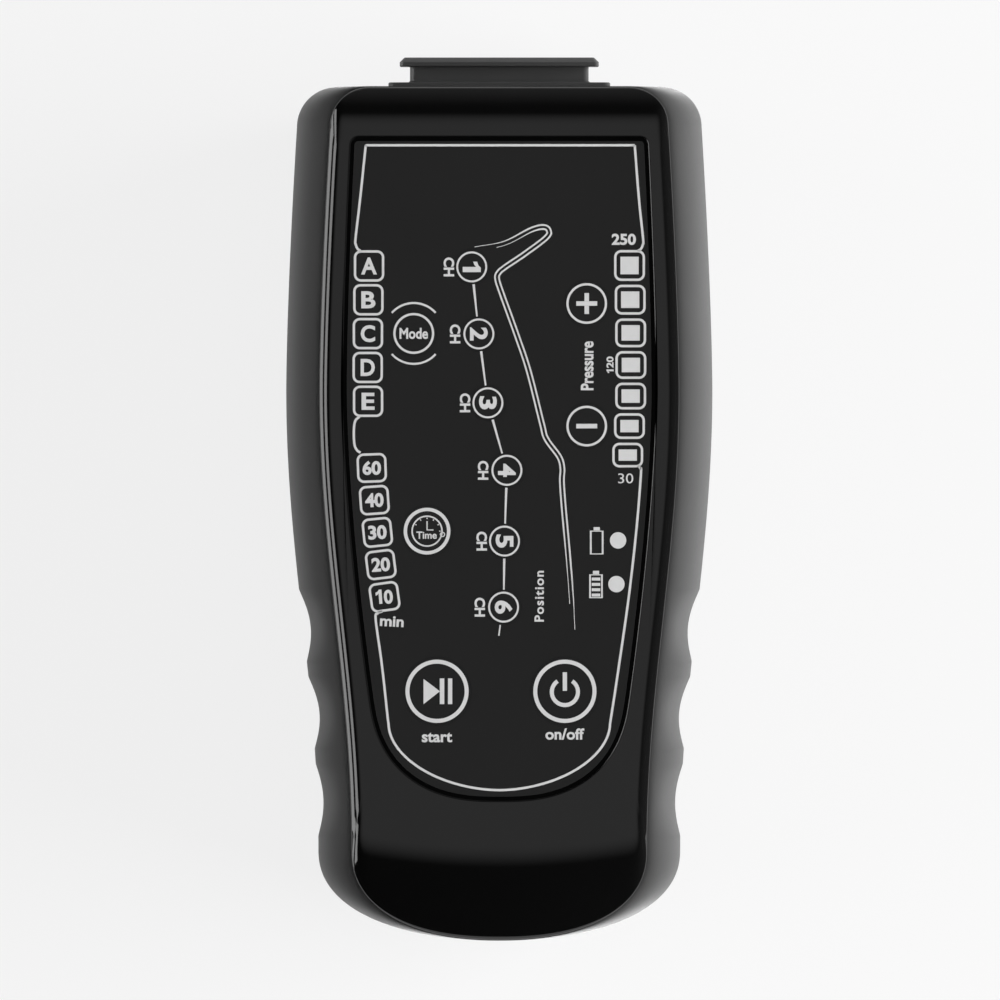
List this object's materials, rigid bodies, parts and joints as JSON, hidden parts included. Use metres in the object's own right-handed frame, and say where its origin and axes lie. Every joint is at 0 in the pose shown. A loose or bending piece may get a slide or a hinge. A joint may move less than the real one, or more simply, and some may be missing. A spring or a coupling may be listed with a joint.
{
  "type": "compression therapy pump",
  "caption": "Hand-held control and pump unit for an air compression sleeve: film keypad, lamps, air port and charging jack.",
  "frame": {"origin": "middle of the rest plane under the feet, halfway along the overall length", "axes": "+Z out of the keypad face, +Y towards the air port, +X to the right of someone who reads the keypad"},
  "size_m": [0.09, 0.1862, 0.048],
  "materials": {
    "shell": "fine matte texture",
    "cover": "high gloss",
    "film": "fine matte, printed in light grey",
    "port": "satin",
    "switch": "moulded",
    "board": "solder mask",
    "lamp": "clear resin, unlit",
    "steel": "zinc plated",
    "rubber": "matte",
    "silicone": "milky, satin",
    "pump_plastic": "natural, satin",
    "copper": "enamelled winding",
    "cell": "shrink sleeve",
    "tray": "satin"
  },
  "bodies": {
    "casing": {"rear_shell": "shell", "front_cover": "cover", "overlay_film": "film", "switch_housings": "switch", "keypad_board": "board", "setting_lamps": "lamp", "pressure_lamps": "lamp", "battery_lamps": "lamp", "board_screws": "steel", "case_screws": "steel", "rubber_feet": "rubber", "air_port": "port", "port_gasket": "rubber", "air_tubes": "silicone", "valve_manifold": "pump_plastic", "valve_yokes": "steel", "valve_coils": "copper", "pressure_sensor": "pump_plastic", "motor_can": "steel", "motor_sleeve": "rubber", "pump_housing": "pump_plastic", "wobble_plate": "pump_plastic", "pump_diaphragm": "rubber", "pump_head": "pump_plastic", "battery_cells": "cell", "battery_tray": "tray", "main_board": "board", "charging_jack": "port"},
    "start_button": {"key_start": "film", "plunger_start": "pump_plastic"},
    "power_button": {"key_power": "film", "plunger_power": "pump_plastic"},
    "mode_button": {"key_mode": "film", "plunger_mode": "pump_plastic"},
    "time_button": {"key_time": "film", "plunger_time": "pump_plastic"},
    "pressure_up_button": {"key_pressure_up": "film", "plunger_pressure_up": "pump_plastic"},
    "pressure_down_button": {"key_pressure_down": "film", "plunger_pressure_down": "pump_plastic"},
    "chamber_1_button": {"key_chamber_1": "film", "plunger_chamber_1": "pump_plastic"},
    "chamber_2_button": {"key_chamber_2": "film", "plunger_chamber_2": "pump_plastic"},
    "chamber_3_button": {"key_chamber_3": "film", "plunger_chamber_3": "pump_plastic"},
    "chamber_4_button": {"key_chamber_4": "film", "plunger_chamber_4": "pump_plastic"},
    "chamber_5_button": {"key_chamber_5": "film", "plunger_chamber_5": "pump_plastic"},
    "chamber_6_button": {"key_chamber_6": "film", "plunger_chamber_6": "pump_plastic"},
    "armature_1": {"valve_armature_1": "steel"},
    "armature_2": {"valve_armature_2": "steel"},
    "armature_3": {"valve_armature_3": "steel"},
    "armature_4": {"valve_armature_4": "steel"},
    "armature_5": {"valve_armature_5": "steel"},
    "armature_6": {"valve_armature_6": "steel"},
    "rotor": {"motor_rotor": "copper", "motor_crank": "pump_plastic"}
  },
  "joints": [
    {"name": "press_start", "type": "slide", "parent": "casing", "child": "start_button", "axis": [0, 0, -1], "range_m": [0, 0.0003], "stiffness_N_per_m": 5000},
    {"name": "press_power", "type": "slide", "parent": "casing", "child": "power_button", "axis": [0, 0, -1], "range_m": [0, 0.0003], "stiffness_N_per_m": 5000},
    {"name": "press_mode", "type": "slide", "parent": "casing", "child": "mode_button", "axis": [0, 0, -1], "range_m": [0, 0.0003], "stiffness_N_per_m": 5000},
    {"name": "press_time", "type": "slide", "parent": "casing", "child": "time_button", "axis": [0, 0, -1], "range_m": [0, 0.0003], "stiffness_N_per_m": 5000},
    {"name": "press_pressure_up", "type": "slide", "parent": "casing", "child": "pressure_up_button", "axis": [0, 0, -1], "range_m": [0, 0.0003], "stiffness_N_per_m": 5000},
    {"name": "press_pressure_down", "type": "slide", "parent": "casing", "child": "pressure_down_button", "axis": [0, 0, -1], "range_m": [0, 0.0003], "stiffness_N_per_m": 5000},
    {"name": "press_chamber_1", "type": "slide", "parent": "casing", "child": "chamber_1_button", "axis": [0, 0, -1], "range_m": [0, 0.0003], "stiffness_N_per_m": 5000},
    {"name": "press_chamber_2", "type": "slide", "parent": "casing", "child": "chamber_2_button", "axis": [0, 0, -1], "range_m": [0, 0.0003], "stiffness_N_per_m": 5000},
    {"name": "press_chamber_3", "type": "slide", "parent": "casing", "child": "chamber_3_button", "axis": [0, 0, -1], "range_m": [0, 0.0003], "stiffness_N_per_m": 5000},
    {"name": "press_chamber_4", "type": "slide", "parent": "casing", "child": "chamber_4_button", "axis": [0, 0, -1], "range_m": [0, 0.0003], "stiffness_N_per_m": 5000},
    {"name": "press_chamber_5", "type": "slide", "parent": "casing", "child": "chamber_5_button", "axis": [0, 0, -1], "range_m": [0, 0.0003], "stiffness_N_per_m": 5000},
    {"name": "press_chamber_6", "type": "slide", "parent": "casing", "child": "chamber_6_button", "axis": [0, 0, -1], "range_m": [0, 0.0003], "stiffness_N_per_m": 5000},
    {"name": "valve_1_open", "type": "slide", "parent": "casing", "child": "armature_1", "axis": [0, -1, 0], "range_m": [0, 0.0008], "stiffness_N_per_m": 400},
    {"name": "valve_2_open", "type": "slide", "parent": "casing", "child": "armature_2", "axis": [0, -1, 0], "range_m": [0, 0.0008], "stiffness_N_per_m": 400},
    {"name": "valve_3_open", "type": "slide", "parent": "casing", "child": "armature_3", "axis": [0, -1, 0], "range_m": [0, 0.0008], "stiffness_N_per_m": 400},
    {"name": "valve_4_open", "type": "slide", "parent": "casing", "child": "armature_4", "axis": [0, -1, 0], "range_m": [0, 0.0008], "stiffness_N_per_m": 400},
    {"name": "valve_5_open", "type": "slide", "parent": "casing", "child": "armature_5", "axis": [0, -1, 0], "range_m": [0, 0.0008], "stiffness_N_per_m": 400},
    {"name": "valve_6_open", "type": "slide", "parent": "casing", "child": "armature_6", "axis": [0, -1, 0], "range_m": [0, 0.0008], "stiffness_N_per_m": 400},
    {"name": "motor_spin", "type": "hinge", "parent": "casing", "child": "rotor", "pos_m": [0, 0.0136, 0.0176], "axis": [1, 0, 0], "continuous": true}
  ]
}
